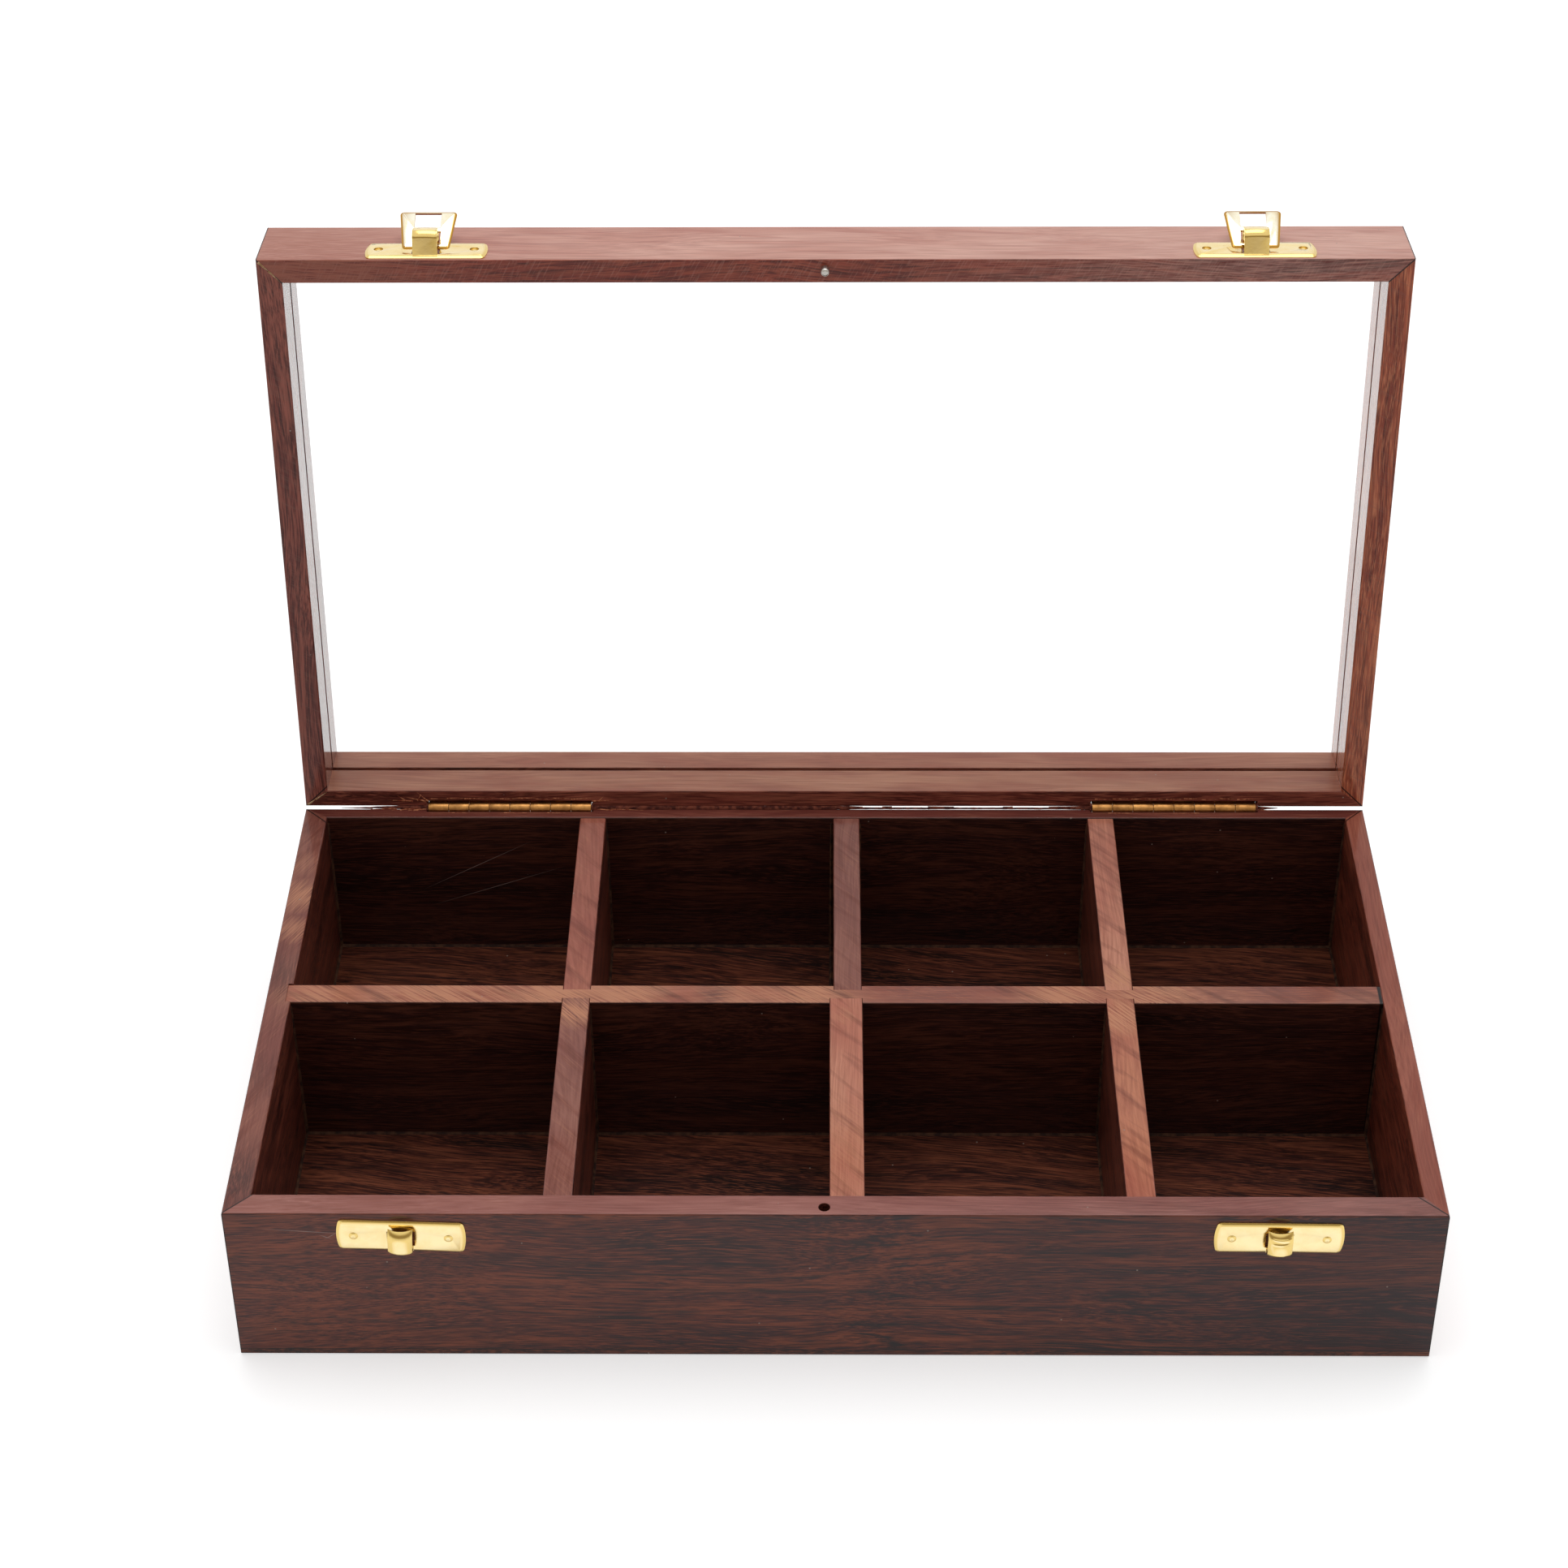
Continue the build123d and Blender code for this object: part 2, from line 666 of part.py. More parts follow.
def hasp(front):
    """A tapered hasp that turns in the eye, with a slot for the eye and a window for the catch."""
    lean = math.radians(hasp_lean)
    pivot = front.from_local_coords((0, hasp_pivot_above_seam, hasp_pivot_outset))
    normal = front.z_dir * math.sin(lean) - front.y_dir * math.cos(lean)
    frame = Plane(pivot, x_dir=front.x_dir, z_dir=normal)
    window_end = hasp_length - hasp_end_bar
    with BuildPart() as piece:
        with BuildSketch(frame.offset(-hasp_sheet / 2)) as outline:
            with BuildLine():
                Polyline(
                    (-half_width(-hasp_pivot_edge), -hasp_pivot_edge),
                    (half_width(-hasp_pivot_edge), -hasp_pivot_edge),
                    (half_width(hasp_length), hasp_length),
                    (-half_width(hasp_length), hasp_length),
                    close=True,
                )
            make_face()
            fillet(outline.vertices(), radius=hasp_corner_radius)
        extrude(amount=hasp_sheet)
        outer_face = piece.faces().sort_by(Axis(frame.origin, frame.z_dir))[-1]
        chamfer(outer_face.edges(), length=hasp_bevel_depth, length2=hasp_bevel_width)
        with BuildSketch(frame.offset(-hasp_sheet / 2)):
            with Locations((0, (hasp_pivot_edge + hasp_slot_end) / 2)):
                Rectangle(hasp_slot_width, hasp_slot_end - hasp_pivot_edge)
            with Locations((0, (hasp_window_start + window_end) / 2)):
                Rectangle(hasp_window_width, window_end - hasp_window_start)
        extrude(amount=hasp_sheet, mode=Mode.SUBTRACT)
    return piece


for side in sides:
    finish(hasp(lid_latch_fronts[side]), f"{side}_hasp")
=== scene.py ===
# %% [markdown]
# # A rosewood tea bag box in Blender
# The object is a hardwood box with eight compartments for tea bags, a lid with a
# glass pane, two butt hinges and two brass hasps. Its measured shape comes from
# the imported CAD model, which is loaded first and never changed. This lesson gives
# it its wood, brass and glass, adds the small things that a saw, a file and a
# hammer leave on it, and then lights and frames it as a product photograph.

import math

import bpy
from mathutils import Matrix, Vector


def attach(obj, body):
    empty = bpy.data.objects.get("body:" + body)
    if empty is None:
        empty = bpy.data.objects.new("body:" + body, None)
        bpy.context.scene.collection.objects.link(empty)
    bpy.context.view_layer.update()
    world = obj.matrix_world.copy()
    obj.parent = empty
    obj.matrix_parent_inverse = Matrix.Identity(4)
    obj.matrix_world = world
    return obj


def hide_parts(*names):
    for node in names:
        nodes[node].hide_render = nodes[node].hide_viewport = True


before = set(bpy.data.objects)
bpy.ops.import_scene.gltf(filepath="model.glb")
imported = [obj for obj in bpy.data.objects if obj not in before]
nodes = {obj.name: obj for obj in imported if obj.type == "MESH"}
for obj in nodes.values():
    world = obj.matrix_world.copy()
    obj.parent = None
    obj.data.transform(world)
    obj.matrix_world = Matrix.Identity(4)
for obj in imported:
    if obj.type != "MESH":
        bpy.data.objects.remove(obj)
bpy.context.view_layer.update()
MM = 0.001

# %% [markdown]
# Colours are written as the hex values that a colour picker shows. Blender's
# sockets want linear light, so one function turns them. Shader trees are built
# with one small function as well, which adds a node, sets its options and fills
# its sockets with values or with links from other nodes.

# %% Colour and node helpers
def colour(code):
    """Linear RGBA for an sRGB hex value such as "#8a5a44"."""
    parts = [int(code[i : i + 2], 16) / 255 for i in (1, 3, 5)]
    return [p / 12.92 if p <= 0.04045 else ((p + 0.055) / 1.055) ** 2.4 for p in parts] + [1.0]


def add(tree, kind, inputs=None, stops=None, **settings):
    """Add a node, with its options, its sockets' values or links, and a ramp's stops."""
    node = tree.nodes.new("ShaderNode" + kind)
    for name, value in settings.items():
        setattr(node, name, value)
    for name, value in (inputs or {}).items():
        if isinstance(value, bpy.types.NodeSocket):
            tree.links.new(value, node.inputs[name])
        else:
            node.inputs[name].default_value = value
    if stops:
        points = node.color_ramp.elements
        while len(points) < len(stops):
            points.new(0.5)
        for point, (place, code) in zip(points, stops):
            point.position = place
            point.color = colour(code)
    return node


def material(name):
    """A new node material, with its tree and its Principled shader."""
    made = bpy.data.materials.new(name)
    made.use_nodes = True
    tree = made.node_tree
    return made, tree, tree.nodes["Principled BSDF"]


print("brown", [round(c, 3) for c in colour("#8a5a44")])

# %% [markdown]
# ## Directions on the box and on the lid
# The lid stands open, so a board of it has its own up and its own length. Joints
# between boards show as thin dark lines. Each is a flat plane through the wood,
# given by its normal and its distance, which a shader can measure from.

# %% Directions and joint planes
OPENING = math.radians(95.2)
LID_LENGTH = Vector((0, -math.cos(OPENING), math.sin(OPENING)))
LID_FACE = Vector((0, math.sin(OPENING), math.cos(OPENING)))
ACROSS = Vector((1, 0, 0))
DEPTH = Vector((0, 1, 0))
UP = Vector((0, 0, 1))


def reach(names, direction):
    """The lowest and highest that some nodes reach along a direction."""
    along = [direction.dot(v.co) for name in names for v in nodes[name].data.vertices]
    return min(along), max(along)


def mitres(left, right, near, far, length):
    """The four mitre planes of a frame, as (normal, distance) by corner."""
    x0, x1 = reach([left, right], ACROSS)
    s0, s1 = reach([near, far], length)
    rising, falling = (ACROSS - length).normalized(), (ACROSS + length).normalized()
    root = math.sqrt(0.5)
    return {
        "near_left": (rising, (x0 - s0) * root),
        "near_right": (falling, (x1 + s0) * root),
        "far_left": (falling, (x0 + s1) * root),
        "far_right": (rising, (x1 - s1) * root),
    }


box_mitres = mitres("left_wall", "right_wall", "front_wall", "back_wall", DEPTH)
lid_mitres = mitres("lid_left_rail", "lid_right_rail", "lid_back_rail", "lid_front_rail", LID_LENGTH)
print("lid runs", [round(v, 4) for v in reach(["lid_left_rail"], LID_LENGTH)])

# %% [markdown]
# ## Rosewood
# The boards are dark Indian rosewood: red-brown wood with nearly black growth
# lines, long fibres and short open pores, sawn, sanded and given a thin satin
# lacquer. The pattern could be painted, but a procedural one follows every board
# into its grooves. It is built in millimetres: the Object coordinates are metres,
# and a Mapping node turns the board's length onto X and scales metres to
# millimetres. One slow noise bends the grain, a second draws growth lines about
# 9 mm apart, a third fibres under 1 mm wide, and a fourth the flecks and pores.
# The real pores are 0.1 mm wide, too fine to show, so they are drawn at 0.4 mm.
# Edges that face up were sanded last, across the grain, and dulled, which left
# slanting bands and scratches. Their paler and pinker colour is painted light
# from above and a painted whitish sheen.

# %% Rosewood material
ALONG_X = (0, 0, 0)
ALONG_Y = (0, 0, math.radians(-90))
ALONG_LID = (OPENING - math.radians(90), math.radians(90), 0)
TAN = "#ca8a68"


def near_plane(tree, at, plane, inner, outer):
    """1 on a plane through the wood, 0 further from it than outer."""
    normal, distance = plane
    along = add(tree, "VectorMath", {0: at, 1: tuple(normal)}, operation="DOT_PRODUCT")
    off = add(tree, "Math", {0: along.outputs["Value"], 1: distance}, operation="SUBTRACT")
    away = add(tree, "Math", {0: off.outputs[0]}, operation="ABSOLUTE")
    near = add(tree, "MapRange", {"Value": away.outputs[0], "From Min": outer, "From Max": inner})
    return near.outputs[0]


def rosewood(
    name, turn, shift, tones, top, up=UP, seams=(), worn=(), painted_light_and_shade=(), slant=50, bands=0.5, scratched=0.15, veins=0.0, shiny=None, hatched=0.0, nicks=(), all_faces=False
):
    """Sanded and lacquered rosewood, with its grain along one direction of the board."""
    dark, deep, mid, light = tones
    made, tree, shader = material("rosewood_" + name)
    place = add(tree, "TexCoord")
    here = place.outputs["Object"]
    grain = add(tree, "Mapping", {"Vector": here, "Location": shift, "Rotation": turn, "Scale": (1000,) * 3})
    slow_at = add(tree, "Mapping", {"Vector": grain.outputs[0], "Scale": (0.007, 0.025, 0.025)})
    slow = add(tree, "TexNoise", {"Vector": slow_at.outputs[0], "Scale": 1.0, "Detail": 2.0})
    bent = add(
        tree,
        "VectorMath",
        {0: slow.outputs["Color"], 1: (0, 20, 20), 2: grain.outputs[0]},
        operation="MULTIPLY_ADD",
    )

    def streaks(long, cross, detail):
        at = add(tree, "Mapping", {"Vector": bent.outputs[0], "Scale": (long, cross, cross)})
        return add(tree, "TexNoise", {"Vector": at.outputs[0], "Scale": 1.0, "Detail": detail, "Roughness": 0.6}).outputs[0]

    lines, fibre, fleck = streaks(0.008, 0.11, 3.0), streaks(0.03, 1.6, 4.0), streaks(0.12, 3.0, 2.0)
    figure = add(
        tree,
        "ValToRGB",
        {0: lines},
        stops=[(0.34, dark), (0.42, deep), (0.46, mid), (0.485, deep), (0.52, mid), (0.58, light), (0.62, deep), (0.66, mid)],
    )
    shade = add(tree, "ValToRGB", {0: fibre}, stops=[(0.34, "#8c8284"), (0.6, "#ffffff")])
    fibred = add(
        tree,
        "Mix",
        {0: 1.0, 6: figure.outputs[0], 7: shade.outputs[0]},
        data_type="RGBA",
        blend_type="MULTIPLY",
    )
    bright_fleck = add(tree, "MapRange", {"Value": fleck, "From Min": 0.5, "From Max": 0.64, "To Max": 0.7})
    flecked = add(tree, "Mix", {0: bright_fleck.outputs[0], 6: fibred.outputs[2], 7: colour(light)}, data_type="RGBA")
    pore = add(tree, "MapRange", {"Value": fleck, "From Min": 0.46, "From Max": 0.35, "To Max": 0.75})
    pored = add(tree, "Mix", {0: pore.outputs[0], 6: flecked.outputs[2], 7: colour(dark)}, data_type="RGBA")
    contour = add(tree, "Math", {0: streaks(0.005, 0.1, 2.0), 1: 0.5}, operation="SUBTRACT")
    thin = add(tree, "Math", {0: contour.outputs[0]}, operation="ABSOLUTE")
    vein = add(tree, "MapRange", {"Value": thin.outputs[0], "From Min": 0.03, "From Max": 0.006, "To Max": veins})
    broken = add(tree, "MapRange", {"Value": fibre, "From Min": 0.62, "From Max": 0.45})
    veined = add(tree, "Math", {0: vein.outputs[0], 1: broken.outputs[0]}, operation="MULTIPLY")
    veiny = add(tree, "Mix", {0: veined.outputs[0], 6: pored.outputs[2], 7: colour("#1f1416")}, data_type="RGBA")
    leaning = add(tree, "Mapping", {"Vector": grain.outputs[0], "Rotation": (0, math.radians(62), 0)})
    hatch_at = add(tree, "Mapping", {"Vector": leaning.outputs[0], "Scale": (0.06, 2.4, 2.4)})
    hatch = add(tree, "TexNoise", {"Vector": hatch_at.outputs[0], "Scale": 1.0, "Detail": 2.0})
    filed = add(tree, "MapRange", {"Value": hatch.outputs[0], "From Min": 0.52, "From Max": 0.68, "To Max": hatched})
    side = add(tree, "Mix", {0: filed.outputs[0], 6: veiny.outputs[2], 7: colour(top[0])}, data_type="RGBA")

    # Faces that point up: paler, pinker tones of painted light from above and painted sheen, over real sanding bands
    # and scratches.
    top_mid, top_light = top
    cloud_at = add(tree, "Mapping", {"Vector": grain.outputs[0], "Scale": (0.025, 0.07, 0.07)})
    cloud = add(tree, "TexNoise", {"Vector": cloud_at.outputs[0], "Scale": 1.0, "Detail": 3.0})
    cover = add(tree, "ValToRGB", {0: cloud.outputs[0]}, stops=[(0.38, top_mid), (0.66, top_light)])
    slanting = (0, 0, math.radians(slant))
    band_at = add(tree, "Mapping", {"Vector": grain.outputs[0], "Rotation": slanting, "Scale": (1, 1, 1)})
    band_long = add(tree, "Mapping", {"Vector": band_at.outputs[0], "Scale": (0.03, 0.28, 0.28)})
    band = add(tree, "TexNoise", {"Vector": band_long.outputs[0], "Scale": 1.0, "Detail": 3.0})
    band_dark = add(tree, "MapRange", {"Value": band.outputs[0], "From Min": 0.5, "From Max": 0.36, "To Max": bands})
    banded = add(tree, "Mix", {0: band_dark.outputs[0], 6: cover.outputs[0], 7: colour(mid)}, data_type="RGBA")
    sanding_at = add(tree, "Mapping", {"Vector": band_at.outputs[0], "Scale": (0.09, 2.6, 2.6)})
    sanding = add(tree, "TexNoise", {"Vector": sanding_at.outputs[0], "Scale": 1.0, "Detail": 2.0})
    scratch = add(tree, "MapRange", {"Value": sanding.outputs[0], "From Min": 0.56, "From Max": 0.7, "To Max": scratched})
    sanded = add(tree, "Mix", {0: scratch.outputs[0], 6: banded.outputs[2], 7: colour(TAN)}, data_type="RGBA")
    grained = add(tree, "ValToRGB", {0: fibre}, stops=[(0.34, "#dfd4d2"), (0.6, "#ffffff")])
    sanded_top_and_painted_light = add(
        tree, "Mix", {0: 1.0, 6: sanded.outputs[2], 7: grained.outputs[0]}, data_type="RGBA", blend_type="MULTIPLY"
    )
    facing = add(tree, "VectorMath", {0: place.outputs["Normal"], 1: tuple(up)}, operation="DOT_PRODUCT")
    on_top = add(tree, "MapRange", {"Value": facing.outputs["Value"], "From Min": 0.6, "From Max": 0.95})
    wood = add(tree, "Mix", {0: on_top.outputs[0], 6: side.outputs[2], 7: sanded_top_and_painted_light.outputs[2]}, data_type="RGBA")

    patchy = add(tree, "MapRange", {"Value": sanding.outputs[0], "From Min": 0.35, "From Max": 0.65, "To Max": 2.0})
    fibre_soft = add(tree, "MapRange", {"Value": fleck, "From Min": 0.3, "From Max": 0.6, "To Max": 1.2})
    if not all_faces:
        fibre_soft = add(tree, "Math", {0: fibre_soft.outputs[0], 1: on_top.outputs[0]}, operation="MULTIPLY")
    rub = add(tree, "Math", {0: patchy.outputs[0], 1: on_top.outputs[0]}, operation="MULTIPLY")
    # Tan worn spots are real wear; the other patches are painted light and shade, lighter or darker colour where the
    # light falls brighter or dimmer.
    for spot, radius, strength, code in [(*w, TAN) for w in worn] + list(painted_light_and_shade):
        away = add(tree, "VectorMath", {0: here, 1: tuple(MM * c for c in spot)}, operation="DISTANCE")
        close = add(tree, "MapRange", {"Value": away.outputs["Value"], "From Min": MM * radius, "From Max": 0.0})
        where = rub if code == TAN else fibre_soft
        worn_or_painted_light = add(tree, "Math", {0: close.outputs[0], 1: where.outputs[0]}, operation="MULTIPLY", use_clamp=True)
        amount = add(tree, "Math", {0: worn_or_painted_light.outputs[0], 1: strength}, operation="MULTIPLY")
        wood = add(tree, "Mix", {0: amount.outputs[0], 6: wood.outputs[2], 7: colour(code)}, data_type="RGBA")
    for point, lean, length in nicks:
        normal = Vector((-math.sin(lean), 0, math.cos(lean)))
        at_point = MM * Vector(point)
        line = near_plane(tree, here, (normal, normal.dot(at_point)), MM * 0.03, MM * 0.14)
        away = add(tree, "VectorMath", {0: here, 1: tuple(at_point)}, operation="DISTANCE")
        close = add(tree, "MapRange", {"Value": away.outputs["Value"], "From Min": MM * length / 2, "From Max": 0.0})
        toward = add(tree, "VectorMath", {0: place.outputs["Normal"], 1: (0, -1, 0)}, operation="DOT_PRODUCT")
        ahead = add(tree, "Math", {0: toward.outputs["Value"], 1: close.outputs[0]}, operation="MULTIPLY", use_clamp=True)
        pale = add(tree, "Math", {0: line, 1: ahead.outputs[0]}, operation="MULTIPLY")
        wood = add(tree, "Mix", {0: pale.outputs[0], 6: wood.outputs[2], 7: colour("#a89088")}, data_type="RGBA")
    for plane, inner, outer in seams:
        line = near_plane(tree, here, plane, MM * inner, MM * outer)
        wood = add(tree, "Mix", {0: line, 6: wood.outputs[2], 7: colour("#160c0b")}, data_type="RGBA")

    motes = add(tree, "TexVoronoi", {"Vector": here, "Scale": 160.0})
    speck = add(tree, "MapRange", {"Value": motes.outputs["Distance"], "From Min": 0.05, "From Max": 0.025})
    rare = add(tree, "SeparateColor", {0: motes.outputs["Color"]})
    some = add(tree, "Math", {0: rare.outputs[0], 1: 0.6}, operation="GREATER_THAN")
    dusty = add(tree, "Math", {0: speck.outputs[0], 1: some.outputs[0]}, operation="MULTIPLY")
    final = add(tree, "Mix", {0: dusty.outputs[0], 6: wood.outputs[2], 7: colour("#a08c80")}, data_type="RGBA")

    tree.links.new(final.outputs[2], shader.inputs["Base Color"])
    rough = add(tree, "MapRange", {"Value": fibre, "To Min": 0.4, "To Max": 0.6})
    tree.links.new(rough.outputs[0], shader.inputs["Roughness"])
    shader.inputs["Specular IOR Level"].default_value = 0.15
    if shiny:
        turned = add(tree, "VectorMath", {0: place.outputs["Normal"], 1: tuple(shiny)}, operation="DOT_PRODUCT")
        lacquered = add(tree, "MapRange", {"Value": turned.outputs["Value"], "From Min": 0.8, "From Max": 0.95, "To Min": 0.3})
        tree.links.new(lacquered.outputs[0], shader.inputs["Coat Weight"])
    else:
        shader.inputs["Coat Weight"].default_value = 0.35
    shader.inputs["Coat Roughness"].default_value = 0.1
    height = add(tree, "Mix", {0: 0.5, 2: fibre, 3: fleck})
    bump = add(tree, "Bump", {"Height": height.outputs[0], "Strength": 0.3, "Distance": 0.00015})
    tree.links.new(bump.outputs[0], shader.inputs["Normal"])
    return made


base_joint = [((UP, MM * 2.0), 0.08, 0.35)]
OUTSIDE = ("#2b191c", "#452122", "#653026", "#8e4a33")
front_wood = rosewood(
    "front",
    (0, 0, 0),
    (3, 0, 7),
    OUTSIDE,
    ("#a0645c", "#b47a70"),
    seams=[(box_mitres[c], 0.08, 0.3) for c in ("near_left", "near_right")] + base_joint,
    # Painted light and shade: lighter at the left of the front, darker at the right.
    painted_light_and_shade=[((-130, -89, 40), 95, 0.45, "#8a4a38"), ((-20, -89, 52), 50, 0.2, "#7c4638"), ((60, -89, 50), 60, 0.3, "#3a2224"), ((150, -89, 20), 90, 0.5, "#3a2224")],
    slant=8,
    bands=0.2,
    scratched=0.06,
    veins=1.0,
    all_faces=True,
    nicks=[((-140, -89.5, 46), -0.08, 26), ((-133.5, -89.5, 44.5), 0.6, 5), ((-135, -89.5, 44), -0.4, 4)],
)
print("front board:", front_wood.name)

# %% [markdown]
# Every board is cut from another place in the tree, so each gets the same recipe
# with its own shift of the pattern and its own tones. Boards inside the box are
# redder than the front. The dividers' tops were sanded hardest: they are orange
# and tan where the file met the joints.

# %% Wood on every board
INSIDE = ("#2e1816", "#3e1f1c", "#50281f", "#643628")
RED = ("#2c1210", "#54231e", "#76372a", "#8c4a38")
LID = ("#74322a", "#8a3c30", "#a24836", "#b05a44")
box_seams = {name: [(box_mitres[c], 0.08, 0.3) for c in corners] for name, corners in (
    ("back", ("far_left", "far_right")),
    ("left", ("near_left", "far_left")),
    ("right", ("near_right", "far_right")),
)}
right_gap = [((ACROSS, MM * 155.6), 0.35, 0.6)]
boards = {
    "front_wall": front_wood,
    "back_wall": rosewood("back", ALONG_X, (40, 9, 3), INSIDE, ("#6e322b", "#824438"), seams=box_seams["back"], slant=5, bands=0.3, nicks=[((-110, 85, 34), 0.5, 40), ((-104, 85, 26), 0.35, 46)]),
    "left_wall": rosewood(
        "left",
        ALONG_Y,
        (80, 3, 1),
        RED,
        ("#84493f", "#9c6252"),
        seams=box_seams["left"],
        worn=[((-158, 46, 52), 9, 0.7), ((-158, 30, 52), 7, 0.6), ((-159, 62, 52), 7, 0.3), ((-158, 0, 52), 6, 0.3)],
        # Painted shade: darker patches along the left wall's rim.
        painted_light_and_shade=[((-158, 10, 52), 16, 0.6, "#4a2a26"), ((-160, -78, 52), 22, 0.75, "#3c2422"), ((-158, 80, 52), 12, 0.5, "#5a302a"), ((-159, -35, 52), 14, 0.4, "#54302b")],
        bands=0.5,
        scratched=0.22,
        slant=28,
    ),
    "right_wall": rosewood("right", ALONG_Y, (10, 33, 5), ("#3a1610", "#66281d", "#8a3e2c", "#a0523c"), ("#96503f", "#a65e4a"), seams=box_seams["right"], slant=10),
    "long_divider": rosewood(
        "long",
        ALONG_X,
        (60, 3, 31),
        INSIDE,
        ("#a8604c", "#bc7c62"),
        seams=right_gap,
        worn=[((-146, 1, 52), 12, 0.7), ((-112, 1, 52), 24, 0.8), ((-80, 1, 52), 18, 0.9), ((-60, 1, 52), 14, 0.8), ((-28, 1, 52), 14, 0.5), ((-6, 1, 52), 14, 0.8), ((66, 1, 52), 16, 0.8), ((92, 1, 52), 16, 1.0)],
        # Painted shade: darker patches along the long divider's top.
        painted_light_and_shade=[((-34, 1, 52), 7, 0.7, "#4a3030"), ((130, 1, 52), 50, 0.8, "#7c4c44"), ((30, 1, 52), 34, 0.8, "#7c4c44")],
        slant=35,
        scratched=0.3,
    ),
    "base_panel": rosewood("base", (0, 0, 0.12), (20, 13, 1), ("#26120f", "#4a221b", "#683424", "#8a4c34"), ("#4a261e", "#5c3026"), up=-UP, veins=0.4),
}
# Pale divider tops: partly painted light from above and painted sheen.
DIVIDER_TOPS = [("#a2584a", "#b26a56"), ("#8a5248", "#9c6456"), ("#c0745e", "#d08c72"), ("#b66852", "#c88062")]
divider_spots = {
    "front_left": [((-73.5, -6, 52), 9, 0.9)],
    "front_right": [((81.5, -8, 52), 10, 1.0)],
    "back_right": [((81.5, 9, 52), 7, 1.0)],
    "front_middle": [((3.5, -60, 52), 24, 0.4), ((3.5, -8, 52), 5, 0.4)],
}
for number, place in enumerate(("left", "middle", "right")):
    for row, step in (("back", 0), ("front", 55)):
        name = f"{row}_{place}"
        boards[name + "_divider"] = rosewood(
            name,
            ALONG_Y,
            (17 * number + step, 21, 5 * number),
            RED,
            DIVIDER_TOPS[number + (row == "front")],
            worn=divider_spots.get(name, ()),
            slant=-40,
            bands=0.5,
            scratched=0.2,
        )
# Painted light and shade on the lid's front rail.
lid_painted_light_and_shade = {
    "lid_front_rail": [
        ((-152, 118, 231), 46, 0.5, "#b87c62"),
        ((-150, 106, 226), 60, 0.8, "#a05a48"),
        ((120, 118, 231), 110, 0.35, "#e0b8aa"),
    ],
}
for name, corners, turn, tones, top in (
    ("lid_back_rail", ("near_left", "near_right"), ALONG_X, ("#6a3228", "#843e32", "#9c4e3e", "#b0624c"), ("#a4624c", "#bc8066")),
    ("lid_front_rail", ("far_left", "far_right"), ALONG_X, LID, ("#c88c7c", "#dca898")),
    ("lid_left_rail", ("near_left", "far_left"), ALONG_LID, ("#542824", "#783a32", "#944c40", "#ac6252"), ("#8a6054", "#8a6054")),
    ("lid_right_rail", ("near_right", "far_right"), ALONG_LID, ("#96422e", "#be5e40", "#d07250", "#e08a62"), ("#8a6054", "#8a6054")),
):
    boards[name] = rosewood(
        name,
        turn,
        (len(boards) * 31, 8, 2),
        tones,
        top,
        up=LID_LENGTH,
        seams=[(lid_mitres[c], 0.08, 0.3) for c in corners],
        slant=6,
        bands=0.3,
        hatched=0.0 if name == "lid_back_rail" else 0.28,
        painted_light_and_shade=lid_painted_light_and_shade.get(name, ()),
        all_faces=True,
        shiny={"lid_left_rail": ACROSS, "lid_right_rail": -ACROSS}.get(name),
    )
for name, wood in boards.items():
    nodes[name].data.materials.clear()
    nodes[name].data.materials.append(wood)
print(len(boards), "boards in rosewood")

# %% [markdown]
# ## Brass
# The latches are stamped from bright brass sheet and polished; the hinges are
# the same metal gone dull and brown. A metal's colour is its reflection, so both
# are fully metallic and differ in tint and in how rough they are. A deeper gold
# off the flat faces is a painted reflection, and the hasps' near-white brass is a
# painted white highlight.

# %% Brass materials
def brass(name, bright, dull, smooth, rough, spot, hammer=0.0, flats=(), reflection_tint=None):
    """Brass whose polish and tarnish change in spots, with a painted reflection: a deeper colour off its flats."""
    made, tree, shader = material(name)
    place = add(tree, "TexCoord")
    at = add(tree, "Mapping", {"Vector": place.outputs["Object"], "Scale": (1000 / spot,) * 3})
    cloud = add(tree, "TexNoise", {"Vector": at.outputs[0], "Scale": 1.0, "Detail": 4.0, "Roughness": 0.6})
    tint = add(tree, "ValToRGB", {0: cloud.outputs[0]}, stops=[(0.4, bright), (0.7, dull)])
    metal = tint.outputs[0]
    off_flat_reflection = None
    # Painted reflection: faces turned away from the flats take a deeper tint.
    for flat in flats:
        along = add(tree, "VectorMath", {0: place.outputs["Normal"], 1: tuple(flat)}, operation="DOT_PRODUCT")
        turned = add(tree, "Math", {0: along.outputs["Value"]}, operation="ABSOLUTE")
        off = add(tree, "MapRange", {"Value": turned.outputs[0], "From Min": 0.985, "From Max": 0.93})
        off_flat_reflection = add(tree, "Math", {0: off_flat_reflection, 1: off.outputs[0]}, operation="MINIMUM").outputs[0] if off_flat_reflection else off.outputs[0]
    if off_flat_reflection:
        metal = add(tree, "Mix", {0: off_flat_reflection, 6: metal, 7: colour(reflection_tint)}, data_type="RGBA").outputs[2]
    tree.links.new(metal, shader.inputs["Base Color"])
    polish = add(tree, "MapRange", {"Value": cloud.outputs[0], "To Min": smooth, "To Max": rough})
    tree.links.new(polish.outputs[0], shader.inputs["Roughness"])
    shader.inputs["Metallic"].default_value = 1.0
    fine = add(tree, "TexNoise", {"Vector": at.outputs[0], "Scale": 6.0, "Detail": 2.0})
    bump = add(tree, "Bump", {"Height": fine.outputs[0], "Strength": hammer, "Distance": 0.00005})
    tree.links.new(bump.outputs[0], shader.inputs["Normal"])
    return made


